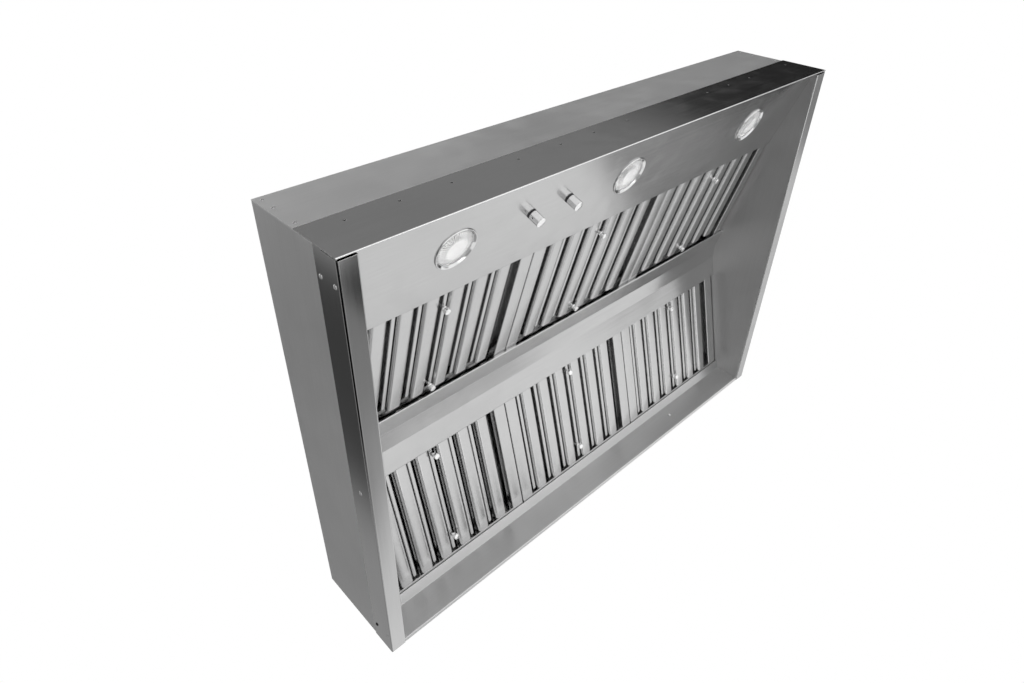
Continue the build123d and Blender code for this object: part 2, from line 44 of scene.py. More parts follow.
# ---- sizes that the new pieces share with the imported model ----
half_width = 609.5
half_depth = 427.0
sheet = 1.2
front_face = -half_depth + sheet
panel_angle = math.radians(19.97)
panel_start_height = 8.8
lamp_slope = 86.5
lamp_pitch = 397.0
row_tilt = math.radians(15.1)
ridge_y = 74.0
row_offset = 187.0
row_mid_height = 112.67
filter_width = 383.0
filter_pitch = 385.0
filter_length = 303.05
filter_depth = 25.0
filter_sheet = 0.9
slot_pitch = 51.0
slot_count = 7
side_flange = 30.0
bar_width = 34.0
baffle_lip = 14.0
end_flange = 12.0
back_flange = 14.0
knob_offset = 101.03
control_slope = 80.0
screw_front_inset = 45.0
screw_rear_inset = 41.0
rear_liner_y = 419.0
columns = {"left": -1, "middle": 0, "right": 1}

# ---- sizes of the new pieces alone ----
rib_width = 8.4
rib_depth = 5.5
rib_end_gap = 9.0
rib_offset = 3.6
shown_bar_width = 31.0
shown_bar_corner = 7.0
back_bar_corner = 2.2
bar_clearance = 0.1
member_corner = 1.6
member_clearance = 0.06
rib_corner = 1.5
drain_gaps = {"front": 36.0, "rear": 20.0}
knob_radius = 9.25
screw_hole_radius = 1.3
screw_head_radius = 3.8
screw_head_height = 1.6
lens_radius = 32.3
# The side of each slot that its rib stands on: 1 is to the right.
rib_sides = {
    ("front", "left"): 1, ("front", "middle"): -1, ("front", "right"): -1,
    ("rear", "left"): -1, ("rear", "middle"): 1, ("rear", "right"): 1}


# ---- placing ----
def placement(origin, x_axis, z_axis):
    """4x4 matrix of a frame from its origin and two of its axes, y being z cross x."""
    x_axis, z_axis = np.array(x_axis, float), np.array(z_axis, float)
    matrix = np.eye(4)
    matrix[:3, 0] = x_axis
    matrix[:3, 1] = np.cross(z_axis, x_axis)
    matrix[:3, 2] = z_axis
    matrix[:3, 3] = origin
    return matrix


def on_panel(x, slope):
    """Frame on the light panel's lower face, Z out of it and Y down towards the front edge."""
    y = front_face + slope * math.cos(panel_angle)
    z = panel_start_height + slope * math.sin(panel_angle)
    return placement((x, y, z), (1, 0, 0), (0, math.sin(panel_angle), -math.cos(panel_angle)))


def on_row(row, x):
    """Frame on the middle of a filter's underside, Y up the slope and Z up through the filter."""
    way = 1 if row == "front" else -1
    origin = (x, ridge_y - way * row_offset, row_mid_height)
    return placement(origin, (way, 0, 0), (0, -way * math.sin(row_tilt), math.cos(row_tilt)))


def shifted(x=0.0, y=0.0, z=0.0):
    """4x4 matrix of a plain move."""
    matrix = np.eye(4)
    matrix[:3, 3] = (x, y, z)
    return matrix


def spun(degrees):
    """4x4 matrix of a turn about Z."""
    turn = math.radians(degrees)
    matrix = np.eye(4)
    matrix[:2, :2] = [[math.cos(turn), -math.sin(turn)], [math.sin(turn), math.cos(turn)]]
    return matrix


def half_turned():
    """4x4 matrix of half a turn about Y."""
    return np.diag([-1.0, 1.0, -1.0, 1.0])


# ---- surfaces: each shape is (points, quads) ----
def volume(points, quads):
    """Signed volume inside closed quads: a sixth of the summed triple products of their triangles."""
    a, b, c, d = (points[quads[:, k]] for k in range(4))
    first = np.einsum("ij,ij->i", a, np.cross(b, c)).sum()
    second = np.einsum("ij,ij->i", a, np.cross(c, d)).sum()
    return (first + second) / 6


def outward(points, quads):
    """The same closed surface with its faces pointing out."""
    return (points, quads) if volume(points, quads) > 0 else (points, quads[:, ::-1])


def joined(shapes):
    """Several shapes as one, with the later ones' quads counting on from the earlier ones' points."""
    points, quads, start = [], [], 0
    for shape_points, shape_quads in shapes:
        points.append(shape_points)
        quads.append(shape_quads + start)
        start += len(shape_points)
    return np.vstack(points), np.vstack(quads)


def placed(shape, *matrices):
    """A shape seen through each matrix: point' = M (point, 1)."""
    points, quads = shape
    full = np.hstack([points, np.ones((len(points), 1))])
    return joined([((full @ matrix.T)[:, :3], quads) for matrix in matrices])


def grid_quads(rows, stations, wrap_rows=False, wrap_stations=False):
    """Quads between neighbours of a grid with so many stations in each row, joined end to end where it
    wraps."""
    i = np.arange(rows if wrap_rows else rows - 1)
    j = np.arange(stations if wrap_stations else stations - 1)
    i, j = (part.ravel() for part in np.meshgrid(i, j, indexing="ij"))
    next_i, next_j = (i + 1) % rows, (j + 1) % stations
    corners = [i * stations + j, next_i * stations + j, next_i * stations + next_j, i * stations + next_j]
    return np.stack(corners, axis=1)


def rounded(corners, radius, steps=6):
    """A polyline whose inner corners C become curves: (1-t)^2 A + 2t(1-t) C + t^2 B,
    where A and B lie one radius before and after C."""
    corners = np.array(corners, float)
    here = corners[1:-1]
    back = corners[:-2] - here
    onward = corners[2:] - here
    reach = np.broadcast_to(radius, (len(here),))[:, None]
    start = here + back / np.linalg.norm(back, axis=1, keepdims=True) * reach
    end = here + onward / np.linalg.norm(onward, axis=1, keepdims=True) * reach
    t = np.linspace(0, 1, steps)[None, :, None]
    bends = (1 - t) ** 2 * start[:, None] + 2 * t * (1 - t) * here[:, None] + t**2 * end[:, None]
    return np.vstack([corners[:1], bends.reshape(-1, 2), corners[-1:]])


def strip_sides(line, thickness):
    """The two faces of a bent sheet: its middle line moved by half the thickness along its normals."""
    along = np.gradient(line, axis=0)
    along /= np.linalg.norm(along, axis=1, keepdims=True)
    normal = np.stack([-along[:, 1], along[:, 0]], axis=1) * thickness / 2
    return line + normal, line - normal


def folded_sheet(corners, thickness, radius, start, end):
    """A sheet folded along Y: the rounded section, in X and Z, carried from y start to y end."""
    left, right = strip_sides(rounded(corners, radius), thickness)
    outline = np.vstack([left, right[::-1]])
    count = len(outline)
    stations = np.array([start, end], float)
    points = np.empty((2, count, 3))
    points[:, :, 0] = outline[:, 0]
    points[:, :, 1] = stations[:, None]
    points[:, :, 2] = outline[:, 1]
    sides = grid_quads(2, count, wrap_stations=True)
    i = np.arange(len(left) - 1)
    cap = np.stack([i, i + 1, count - 2 - i, count - 1 - i], axis=1)
    return outward(points.reshape(-1, 3), np.vstack([sides, cap, cap[:, ::-1] + count]))


def around_axis(radius, height, segments):
    """Closed surface (r cos a, r sin a, h) about Z, whose stations on the axis become single points.
    Radius and height have one row for each angle, or one row for all of them."""
    radius, height = np.atleast_2d(radius), np.atleast_2d(height)
    angle = np.arange(segments)[:, None] / segments * 2 * math.pi
    grid = np.stack(np.broadcast_arrays(np.cos(angle) * radius, np.sin(angle) * radius, height), axis=2)
    stations = grid.shape[1]
    index = np.arange(segments * stations).reshape(segments, stations)
    on_axis = np.broadcast_to(radius, (segments, stations))[0] < TOUCHING
    index[:, on_axis] = index[0, on_axis]
    quads = index.ravel()[grid_quads(segments, stations, wrap_rows=True, wrap_stations=True)]
    used, quads = np.unique(quads, return_inverse=True)
    return outward(grid.reshape(-1, 3)[used], quads.reshape(-1, 4))


def turned(profile, segments):
    """A closed profile of (radius, height) turned about Z."""
    profile = np.array(profile, float)
    return around_axis(profile[:, 0], profile[:, 1], segments)


def closed_rounded(corners, radius, steps=6):
    """A closed polygon with every corner rounded as in rounded()."""
    corners = np.array(corners, float)
    middle = (corners[0] + corners[-1]) / 2
    path = np.vstack([middle[None], corners, middle[None]])
    return rounded(path, radius, steps)[:-1]


def in_scene(name, data):
    """A new object of this mesh, lamp or camera."""
    thing = bpy.data.objects.new(name, data)
    bpy.context.scene.collection.objects.link(thing)
    return thing


def add_piece(name, shape, material, body, stands_for=(), sharp_angle=38):
    """Puts a shape into a mesh, in metres, gives it its finish and lets it ride on its body."""
    points, quads = shape
    first_pinched, last_pinched = quads[:, 0] == quads[:, 1], quads[:, 2] == quads[:, 3]
    faces = quads[~first_pinched & ~last_pinched].tolist()
    faces += quads[first_pinched & ~last_pinched][:, 1:].tolist()
    faces += quads[last_pinched & ~first_pinched][:, :3].tolist()
    mesh = bpy.data.meshes.new(name)
    mesh.from_pydata((points * METRES).tolist(), [], faces)
    mesh.validate()
    mesh.shade_smooth()
    mesh.set_sharp_from_angle(angle=math.radians(sharp_angle))
    mesh.materials.append(material)
    piece = in_scene(name, mesh)
    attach(piece, body)
    if stands_for:
        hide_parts(*stands_for)


# ---- finishes ----
class Finish:
    """A material's node tree, with short calls for the nodes that the finishes use."""

    def __init__(self, name):
        self.material = bpy.data.materials.new(name)
        self.material.use_nodes = True
        self.tree = self.material.node_tree
        self.shader = self.tree.nodes["Principled BSDF"]
        self.coordinates = self.add("ShaderNodeTexCoord").outputs["Object"]
        self.rounded_normal = None

    def add(self, kind, **settings):
        """A new node with these settings."""
        node = self.tree.nodes.new(kind)
        for key, value in settings.items():
            setattr(node, key, value)
        return node

    def link(self, start, end):
        """Joins a node's output to an input."""
        self.tree.links.new(start, end)

    def position(self):
        """The three object coordinates."""
        parts = self.add("ShaderNodeSeparateXYZ")
        self.link(self.coordinates, parts.inputs["Vector"])
        return parts.outputs

    def noise(self, scale, detail=3.0, roughness=0.55):
        """Noise whose lumps are one over scale long on each axis, in metres."""
        mapping = self.add("ShaderNodeMapping")
        mapping.inputs["Scale"].default_value = scale
        self.link(self.coordinates, mapping.inputs["Vector"])
        noise = self.add("ShaderNodeTexNoise")
        noise.inputs["Scale"].default_value = 1.0
        noise.inputs["Detail"].default_value = detail
        noise.inputs["Roughness"].default_value = roughness
        self.link(mapping.outputs["Vector"], noise.inputs["Vector"])
        return noise.outputs["Fac"]

    def spread(self, value, low, high, start=0.3, end=0.7):
        """A value from start to end becomes one from low to high."""
        spread = self.add("ShaderNodeMapRange")
        for socket, number in zip(("From Min", "From Max", "To Min", "To Max"), (start, end, low, high)):
            spread.inputs[socket].default_value = number
        self.link(value, spread.inputs["Value"])
        return spread.outputs["Result"]

    def sum_of(self, first, second, kind="ADD"):
        """The sum of two values, or what another kind of Math node makes of them."""
        node = self.add("ShaderNodeMath", operation=kind)
        self.link(first, node.inputs[0])
        self.link(second, node.inputs[1])
        return node.outputs[0]

    def grey(self, value):
        """A grey colour from a value."""
        node = self.add("ShaderNodeCombineColor")
        for socket in ("Red", "Green", "Blue"):
            self.link(value, node.inputs[socket])
        return node.outputs["Color"]

    def bump(self, height, distance):
        """Unevenness of the surface, distance high, over the rounded edges where there are any."""
        node = self.add("ShaderNodeBump")
        node.inputs["Strength"].default_value = 1.0
        node.inputs["Distance"].default_value = distance
        self.link(height, node.inputs["Height"])
        if self.rounded_normal:
            self.link(self.rounded_normal, node.inputs["Normal"])
        self.link(node.outputs["Normal"], self.shader.inputs["Normal"])

    def edge_wear_and_highlight(self, width):
        """0 on a flat face, rising within width of a corner: one less the dot of the rounded normal and
        the true one."""
        rounding = self.add("ShaderNodeBevel")
        rounding.samples = 4
        rounding.inputs["Radius"].default_value = width
        true = self.add("ShaderNodeNewGeometry")
        dot = self.add("ShaderNodeVectorMath", operation="DOT_PRODUCT")
        self.link(rounding.outputs["Normal"], dot.inputs[0])
        self.link(true.outputs["Normal"], dot.inputs[1])
        self.rounded_normal = rounding.outputs["Normal"]
        return self.spread(dot.outputs["Value"], 1.0, 0.0, 0.0, 1.0)

    def set(self, **numbers):
        """Numbers on the shader's own sockets."""
        for key, number in numbers.items():
            self.shader.inputs[key.replace("_", " ")].default_value = number


def drawn_out(across, lengthwise, grain):
    """Noise scale of streaks: lengthwise on the axis that the grain runs along, and across on the others."""
    return tuple(across + (lengthwise - across) * np.array(grain, float))


def brushed(
    name, tone, roughness, grain, cloud=0.02, anisotropy=0.55, waves=0.00012,
    highlight_height=None, painted_seam=False, dull_wall=0.0, wear=0.02,
):
    """Brushed stainless: hair-fine scratches along the grain, soft clouds of handling, and edges lighter in
    colour, partly as wear and partly as a painted highlight. Below a given height the colour is lighter too,
    a painted highlight along the hem's bottom edge. With the seam flag, painted shade draws a dark line at
    the left edge where the seam's shadow falls, with a painted highlight as a bright line inside it, both
    fading towards the back. Above the rim the steel is rougher by dull_wall. Wear is how much its roughness
    changes from place to place."""
    finish = Finish(name)
    fine = finish.noise(drawn_out(2600, 12, grain))
    streaks = finish.noise(drawn_out(420, 4, grain))
    clouds = finish.noise((4.0, 4.0, 4.0), detail=2.0)
    smudges = finish.noise((23.0, 23.0, 23.0), detail=4.0, roughness=0.6)
    scratch = 0.02
    light = finish.sum_of(
        finish.spread(fine, -scratch, scratch), finish.spread(streaks, -scratch * 0.6, scratch * 0.6))
    light = finish.sum_of(light, finish.spread(clouds, tone - cloud, tone + cloud))
    # Edges lighter in colour: partly wear, partly a painted highlight along the folds.
    rim = finish.edge_wear_and_highlight(0.0009)
    light = finish.sum_of(light, finish.spread(rim, 0.0, 0.16, 0.02, 0.25))
    # Painted highlight: the colour is lighter along the hem's bottom edge.
    if highlight_height:
        height = finish.position()["Z"]
        light = finish.sum_of(light, finish.spread(height, 0.38, 0.0, highlight_height * 0.8, highlight_height * 1.2))
    # Painted shade as a dark line in the seam's gap, and a painted highlight as a bright line inside it.
    if painted_seam:
        spot = finish.position()
        edge = -half_width * METRES
        low = finish.spread(spot["Z"], 1.0, 0.0, 0.0008, 0.0014)
        near = finish.sum_of(low, finish.spread(spot["Y"], 1.0, 0.1, -0.15, 0.25), "MULTIPLY")
        dark = finish.spread(spot["X"], -0.72, 0.0, edge + 0.0022, edge + 0.0028)
        bright = finish.spread(spot["X"], 0.14, 0.0, edge + 0.0036, edge + 0.0046)
        light = finish.sum_of(light, finish.sum_of(near, finish.sum_of(bright, dark), "MULTIPLY"))
    finish.link(finish.grey(light), finish.shader.inputs["Base Color"])
    worn = finish.sum_of(
        finish.spread(streaks, -wear, wear), finish.spread(clouds, roughness - wear, roughness + wear))
    worn = finish.sum_of(worn, finish.spread(smudges, -wear / 2, wear * 2.5, 0.45, 0.75))
    if dull_wall:
        height = finish.position()["Z"]
        worn = finish.sum_of(worn, finish.spread(height, 0.0, dull_wall, 0.001, 0.003))
    finish.link(worn, finish.shader.inputs["Roughness"])
    sheet_waves = finish.noise((7.0, 7.0, 7.0), detail=1.0)
    height = finish.sum_of(finish.spread(fine, 0.0, 0.01, 0.0, 1.0), sheet_waves)
    finish.bump(height, waves)
    finish.set(Metallic=1.0, Anisotropic=anisotropy, Anisotropic_Rotation=0.25)
    direction = finish.add("ShaderNodeCombineXYZ")
    for socket, part in zip("XYZ", grain):
        direction.inputs[socket].default_value = part
    finish.link(direction.outputs["Vector"], finish.shader.inputs["Tangent"])
    return finish.material


def polished(name, tone, roughness, metal=1.0, glow=0.0):
    """Bright plated metal with faint hairlines in its gloss, and an even white glow where glow is set, which
    is painted light.
    """
    finish = Finish(name)
    hairs = finish.noise((900.0, 900.0, 900.0), detail=2.0)
    clouds = finish.noise((60.0, 60.0, 60.0), detail=2.0)
    shade = finish.spread(clouds, tone - 0.03, tone + 0.02)
    finish.link(finish.grey(shade), finish.shader.inputs["Base Color"])
    finish.link(finish.spread(hairs, roughness - 0.02, roughness + 0.03), finish.shader.inputs["Roughness"])
    finish.set(Metallic=metal, Emission_Strength=glow, Emission_Color=(1.0, 1.0, 1.0, 1.0))
    return finish.material


def coated(name, colour, roughness):
    """Plain ceramic or moulded plastic with a fine grain."""
    finish = Finish(name)
    grain = finish.noise((700.0, 700.0, 700.0))
    shade = finish.spread(grain, -0.02, 0.02)
    mixed = finish.add("ShaderNodeMix", data_type="RGBA", blend_type="ADD")
    mixed.inputs["Factor"].default_value = 1.0
    mixed.inputs["A"].default_value = (*colour, 1.0)
    finish.link(finish.grey(shade), mixed.inputs["B"])
    finish.link(mixed.outputs["Result"], finish.shader.inputs["Base Color"])
    finish.link(finish.spread(grain, roughness - 0.05, roughness + 0.05), finish.shader.inputs["Roughness"])
    finish.bump(grain, 0.00003)
    return finish.material


def glass(name):
    """Milky pressed glass with a trace of haze."""
    finish = Finish(name)
    haze = finish.noise((300.0, 300.0, 300.0))
    finish.link(finish.spread(haze, 0.02, 0.07), finish.shader.inputs["Roughness"])
    finish.set(Base_Color=(0.98, 0.98, 0.98, 1.0), Transmission_Weight=0.8, IOR=1.46)
    return finish.material


ALONG_X, ALONG_Y, ALONG_Z = (1, 0, 0), (0, 1, 0), (0, 0, 1)
finishes = {
    # The front, skirt, side and casing steels are one stainless: their different tones are painted light and
    # shade.
    "front_steel": brushed("front_steel", 0.84, 0.5, ALONG_X),
    "skirt_steel": brushed("skirt_steel", 0.58, 0.15, ALONG_X, highlight_height=0.0014),
    "side_steel": brushed("side_steel", 0.70, 0.55, ALONG_Y, cloud=0.03),
    "casing_steel": brushed("casing_steel", 0.64, 0.5, ALONG_X),
    "panel_steel": brushed("panel_steel", 0.60, 0.18, ALONG_X),
    "divider_steel": brushed("divider_steel", 0.60, 0.2, ALONG_X),
    "inner_steel": brushed("inner_steel", 0.40, 0.45, ALONG_X),
    "duct_steel": brushed("duct_steel", 0.52, 0.38, ALONG_Z),
    "box_steel": brushed("box_steel", 0.50, 0.42, ALONG_X),
    "can_steel": brushed("can_steel", 0.45, 0.4, ALONG_X),
    "filter_frame_steel": brushed("filter_frame_steel", 0.62, 0.2, ALONG_Y),
    "baffle_steel": brushed("baffle_steel", 0.62, 0.2, ALONG_Y),
    "screw_steel": polished("screw_steel", 0.62, 0.2),
    "bezel_chrome": polished("bezel_chrome", 0.82, 0.06),
    # The reflector bowl and its collar glow a little: painted light, for no lamp in them is lit.
    "bulb_glass": polished("bulb_glass", 0.95, 0.2, 0.25, 0.3),
    "control_knob_steel": polished("control_knob_steel", 0.95, 0.12, 0.8),
    "filter_knob_steel": polished("filter_knob_steel", 0.95, 0.1, 0.8),
    "lens_glass": glass("lens_glass"),
    "socket_ceramic": coated("socket_ceramic", (0.72, 0.70, 0.66), 0.5),
    "control_plastic": coated("control_plastic", (0.05, 0.05, 0.055), 0.45),
}

# Each liner has a finish of its own and not its slot's, with tone and gloss set beside the photo. The liners
# are one stainless, so their different tones are painted light and shade.
liner_finishes = {
    "rear_liner": brushed("rear_liner_steel", 0.68, 0.36, ALONG_X),
    "left_side_liner": brushed(
        "left_liner_steel", 0.58, 0.11, ALONG_Y, anisotropy=0.4, waves=0.000008, painted_seam=True, wear=0.003),
    "right_side_liner": brushed("right_liner_steel", 0.54, 0.16, ALONG_Y, waves=0.00004, dull_wall=0.26),
}
for name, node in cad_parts.items():
    for holder in node.material_slots:
        holder.material = liner_finishes.get(name) or finishes[holder.material.name]


# ---- baffle filters ----
def filter_bar(width, corner, drain_gap):
    """A channel with a rounded web: the U section carried from the lower end to the drain gap at the
    upper end."""
    side = width / 2 - filter_sheet / 2
    middle = filter_sheet / 2
    corners = [(-side, baffle_lip), (-side, middle), (side, middle), (side, baffle_lip)]
    half = filter_length / 2 - filter_sheet - bar_clearance
    return folded_sheet(corners, filter_sheet, corner, -half, half - drain_gap)


def filter_rib(drain_gap):
    """A narrow channel inside a slot, from rib_depth behind the filter's face to the back bar's web."""
    side = rib_width / 2 - filter_sheet / 2
    front = rib_depth + filter_sheet / 2
    back = filter_depth - 2 * filter_sheet
    half = filter_length / 2 - rib_end_gap
    section = [(-side, back), (-side, front), (side, front), (side, back)]
    return folded_sheet(section, filter_sheet, rib_corner, -half, half - drain_gap)


def filter_baffles(way, rib_side, drain_gap):
    """Front bars between the slots, turned-over back bars across them, and a rib to one side in each slot
    but the one at the right end."""
    slots = (np.arange(slot_count) - (slot_count - 1) / 2) * slot_pitch
    front = [shifted(x + slot_pitch / 2, 0, filter_sheet) for x in slots[:-1]]
    back = [shifted(x, 0, filter_depth - filter_sheet) @ half_turned() for x in slots]
    ribs = [shifted(x + rib_side * way * rib_offset, 0, 0) for x in slots[::way][:-1]]
    return joined([
        placed(filter_bar(shown_bar_width, shown_bar_corner, drain_gap), *front),
        placed(filter_bar(bar_width, back_bar_corner, drain_gap), *back),
        placed(filter_rib(drain_gap), *ribs)])


def filter_frame():
    """Four folded members: the sides carry a lip beside the end slots, and the ends lie just inside them.
    The upper end has no front flange, which leaves a drain gap past the bars."""
    middle = filter_sheet / 2
    edge_x, edge_y = filter_width / 2 - middle, filter_length / 2 - middle
    top = filter_depth - middle
    lip_x = filter_width / 2 - side_flange + middle
    section = [
        (lip_x, filter_sheet + baffle_lip), (lip_x, middle), (edge_x, middle),
        (edge_x, top), (edge_x - back_flange, top)]
    side = folded_sheet(section, filter_sheet, member_corner, -filter_length / 2, filter_length / 2)
    low, high = middle + member_clearance, top - member_clearance
    reach = edge_x - middle - member_clearance
    section = [(edge_y - end_flange, low), (edge_y, low), (edge_y, high), (edge_y - end_flange, high)]
    lower = folded_sheet(section, filter_sheet, member_corner, -reach, reach)
    upper = folded_sheet(section[1:], filter_sheet, member_corner, -reach, reach)
    quarter = placement((0, 0, 0), (0, 1, 0), (0, 0, 1))
    other_end = np.diag([-1.0, -1.0, 1.0, 1.0])
    return joined([
        placed(side, np.eye(4), other_end), placed(upper, quarter), placed(lower, other_end @ quarter)])


def filter_knobs():
    """Two short pulls through the middle slot: a rod from the back bar, a collar, a waist and a rounded
    head, turned about Z."""
    seat = filter_depth - 2 * filter_sheet
    corners = [
        (0.0, seat), (2.4, seat), (2.4, 2.6), (5.2, 2.6), (5.2, -0.4), (4.3, -1.2), (4.3, -2.6), (6.0, -3.4),
        (6.0, -10.0), (0.0, -10.0)]
    knob = turned(rounded(corners, [0.4, 0.3, 0.6, 0.4, 0.4, 0.4, 0.6, 1.6]), 40)
    return placed(knob, shifted(0, -knob_offset, 0), shifted(0, knob_offset, 0))


tray, pulls = filter_frame(), filter_knobs()
for row, way in (("front", 1), ("rear", -1)):
    for column, place in columns.items():
        spot = on_row(row, place * filter_pitch)
        body = f"{row}_{column}_filter"
        for part, shape, slot in (
            ("baffles", filter_baffles(way, rib_sides[row, column], drain_gaps[row]), "baffle_steel"),
            ("frame", tray, "filter_frame_steel"),
            ("knobs", pulls, "filter_knob_steel"),
        ):
            node = f"{body}_{part}"
            add_piece(f"{node}_shown", placed(shape, spot), finishes[slot], body, (node,))


# ---- control knobs ----
def control_knob(hole_turn, hole_height):
    """Turned knob over the nut, open below, with its side pushed in by 2 inside the set screw's hole:
    radius = profile - 2 where the distance to the hole's middle on the side is under the hole's radius."""
    side = np.arange(2.6, 21.2, 0.3)
    radius = np.concatenate([
        [0.0, 3.2, 3.2, 7.9, 7.9, 8.5, 8.5, 9.0], np.full(len(side), knob_radius), [9.15, 8.85, 8.4, 0.0]])
    height = np.concatenate([[18.9, 18.9, 5.0, 5.0, 0.6, 0.6, 2.2, 2.2], side, [21.6, 21.88, 22.0, 22.0]])
    segments = 180
    angle = np.arange(segments)[:, None] / segments * 360
    aside = np.radians((angle - hole_turn + 180) % 360 - 180) * knob_radius
    distance = np.hypot(aside, height[None, :] - hole_height)
    on_side = (radius == knob_radius)[None, :]
    rim = 0.3
    inside = np.clip((screw_hole_radius + rim / 2 - distance) / rim, 0, 1)
    pushed = np.where(on_side, 2.0 * inside, 0.0)
    return around_axis(radius[None, :] - pushed, height, segments)


def set_screw():
    """Cup screw down inside its hole, with a socket in its end."""
    wall = screw_hole_radius
    return turned([(0.0, -0.6), (wall, -0.6), (wall, 1.5), (0.7, 1.6), (0.6, 0.5), (0.0, 0.4)], 24)


def knob_shade_ring():
    """Dark plastic ring between a control knob and the panel: painted shade where the gap at the knob's base
    is in shadow.
    """
    return turned(closed_rounded([(8.55, 0.35), (9.05, 0.35), (9.05, 2.1), (8.55, 2.1)], 0.2, 4), 90)


# Each knob's name and place along the panel, and the turn and height of its set screw's hole.
for name, place, hole_turn, hole_height in (("fan", -243.5, 165.0, 8.8), ("light", -157.0, 80.0, 10.0)):
    spot = on_panel(place, control_slope)
    knob = placed(control_knob(hole_turn, hole_height), spot)
    body = f"{name}_knob"
    add_piece(f"{body}_shown", knob, finishes["control_knob_steel"], body, (body,))
    facing_out = placement((7.0, 0, 0), (0, 1, 0), (1, 0, 0))
    screw_spot = spot @ shifted(z=hole_height) @ spun(hole_turn) @ facing_out
    # Each knob has a set screw and a dark ring at its base, which is painted shade.
    for part, shape in (("set_screw", placed(set_screw(), screw_spot)), ("shade_ring", placed(knob_shade_ring(), spot))):
        add_piece(f"{body}_{part}", shape, finishes["control_plastic"], body)


# ---- lamps ----
def lamp_ring():
    """Trim ring: a narrow rolled rim, a wall that slopes in to the glass, and a neck through the panel."""
    corners = [
        (31.1, -9.0), (32.4, -9.0), (32.4, 0.0), (38.6, 0.0), (38.6, 1.0), (37.9, 2.4), (36.9, 2.4),
        (32.8, -0.2), (31.1, -2.8)]
    return turned(closed_rounded(corners, [0.2, 0.2, 0.3, 0.3, 0.5, 0.4, 0.4, 0.8, 0.3]), 120)


def lamp_glass():
    """Pressed lens: a dome, height = 2.2 - 2.4 (r/R)^2, less 0.8 (1 - cos(44 a)) / 2 over its outer band,
    with a faint ring, and a plain back with a neck."""
    back = -6.0
    flutes = 44
    turns = flutes * 8
    share = np.sin(np.linspace(0.0, 1.0, 34) * math.pi / 2)[None, :]
    angle = (np.arange(turns) / turns * 2 * math.pi)[:, None]
    band = np.clip((share - 0.55) / 0.15, 0, 1)
    ring = np.exp(-(((share - 0.5) / 0.03) ** 2))
    front = 2.2 - 2.4 * share**2 - 0.8 * band * (1 - np.cos(flutes * angle)) / 2 + 0.2 * ring
    neck = 30.9 / lens_radius
    behind = np.broadcast_to((-1.4, -3.0, back, back), (turns, 4))
    reach = np.concatenate([share, [[1.0, neck, neck, 0.0]]], axis=1) * lens_radius
    return around_axis(reach, np.concatenate([front, behind], axis=1), turns)


def lamp_bulb():
    """Reflector: a bowl r = 25 sqrt(1 - d), open to the glass, with a base behind."""
    depth = np.linspace(0.0, 0.86, 14)
    inner = np.stack([24.4 * np.sqrt(1 - depth), -8.5 - 32.0 * depth], axis=1)
    outer = np.stack([25.0 * np.sqrt(1 - depth[::-1]), -8.0 - 33.5 * depth[::-1]], axis=1)
    outer[0] = (9.0, -37.5)
    base = np.array([(0.0, -36.2), (0.0, -52.0), (9.0, -52.0)])
    return turned(np.vstack([inner, base, outer]), 36)


def lamp_collar():
    """Reflector skirt: a thin cone from behind the glass down to the bulb's rim."""
    line = np.array([(30.6, -6.4), (29.6, -7.4), (25.6, -8.4)])
    return turned(np.vstack([line, (line + (-0.15, -0.7))[::-1]]), 72)


def lamp_capsule():
    """Frosted capsule at the middle of the bowl: a tube with a domed tip."""
    tip = np.linspace(0.0, math.pi / 2, 8)
    dome = np.stack([4.6 * np.sin(tip), -17.0 + 4.6 * np.cos(tip)], axis=1)
    stem = np.array([(4.6, -36.0), (0.0, -36.0)])
    return turned(np.vstack([dome, stem]), 32)


for column, place in columns.items():
    spot = on_panel(place * lamp_pitch, lamp_slope)
    for part, shape, slot, angle in (
        ("bezel", lamp_ring(), "bezel_chrome", 60),
        ("lens", lamp_glass(), "lens_glass", 60),
        ("bulb", lamp_bulb(), "bulb_glass", 20),
    ):
        node = f"{column}_lamp_{part}"
        add_piece(f"{node}_shown", placed(shape, spot), finishes[slot], "casing", (node,), angle)
    for part, shape, slot in (
        ("collar", lamp_collar(), "bulb_glass"),
        ("capsule", lamp_capsule(), "socket_ceramic"),
    ):
        add_piece(f"{column}_lamp_{part}", placed(shape, spot), finishes[slot], "casing")


# ---- fasteners ----
def pan_screw():
    """Pan head with a cross recess: height = H (1 - (r/R)^4) less 0.8 inside the cross."""
    segments = 64
    share = np.linspace(0.0, 1.0, 22)[None, :]
    angle = (np.arange(segments) / segments * 2 * math.pi)[:, None]
    x, y = np.cos(angle) * share * screw_head_radius, np.sin(angle) * share * screw_head_radius
    arms = np.minimum(np.abs(x), np.abs(y))
    reach = np.maximum(np.abs(x), np.abs(y))
    cross = np.clip((0.62 - arms) / 0.2, 0, 1) * np.clip((2.1 - reach) / 0.3, 0, 1)
    dome = screw_head_height * (1 - share**4) - 0.8 * cross
    heights = np.concatenate([dome, np.zeros((segments, 1))], axis=1)
    head = around_axis(np.append(share * screw_head_radius, 0.0), heights, segments)
    shank = turned([(0.0, 0.0), (2.0, 0.0), (2.0, -7.4), (1.4, -8.0), (0.0, -8.0)], 20)
    return joined([head, shank])


def rivet(radius=2.7):
    """Blind rivet: a low dome, height = 1 - (r/R)^3, less 0.5 exp(-(3 r/R)^4) where its pin broke off."""
    share = np.linspace(0.0, 1.0, 12)
    dome = np.stack([radius * share, 1 - share**3 - 0.5 * np.exp(-((share / 0.33) ** 4))], axis=1)
    return turned(np.vstack([dome, [(0.0, 0.0)]]), 32)


def on_both_sides(spots):
    """Frames at these depths and heights on the two outer sides, facing out."""
    return [
        placement((side * half_width, y, z), (0, 1, 0), (side, 0, 0)) for side in (-1, 1) for y, z in spots]


